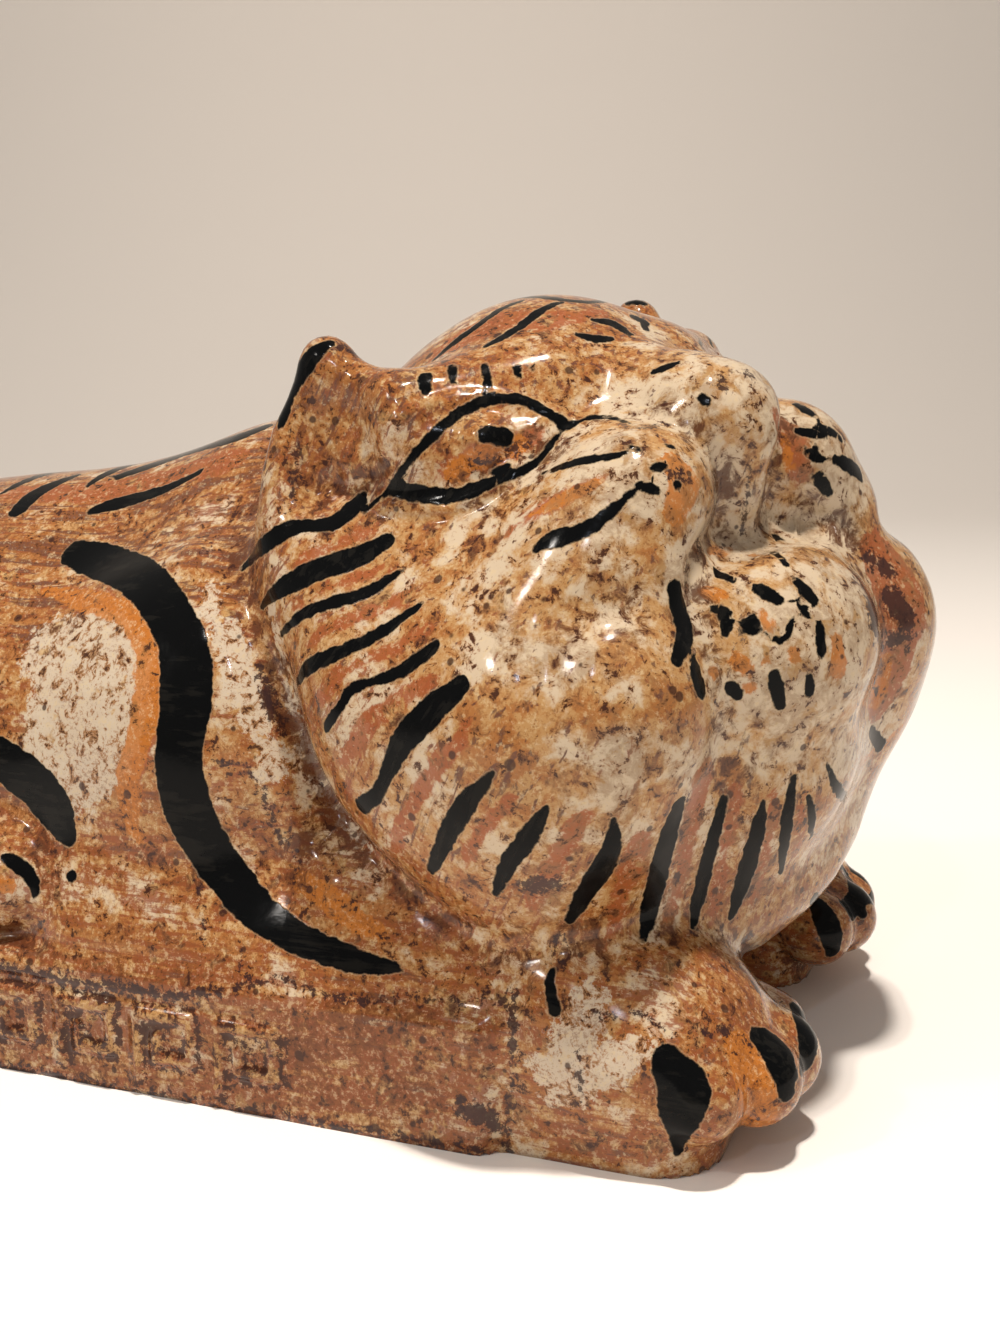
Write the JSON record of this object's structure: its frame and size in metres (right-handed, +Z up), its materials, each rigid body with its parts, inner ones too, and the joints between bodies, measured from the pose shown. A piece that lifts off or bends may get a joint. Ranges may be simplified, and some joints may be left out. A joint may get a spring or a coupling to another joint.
{
  "type": "ceramic tiger figurine",
  "caption": "Glazed ceramic tiger lying on a low plinth, head turned to one side, forepaws stretched past the end of the plinth; a decorative figure that stands by its own weight.",
  "frame": {"origin": "middle of the figure's outline at the height of the surface it stands on", "axes": "+X the way the tiger's body points, +Y its left side, +Z up; the head turns toward -Y"},
  "size_m": [0.3473, 0.1619, 0.1635],
  "materials": {
    "glaze": "glossy mottled ochre, cream and rust glaze with black brushed stripes"
  },
  "bodies": {
    "root": {"tiger": "glaze"}
  },
  "joints": []
}
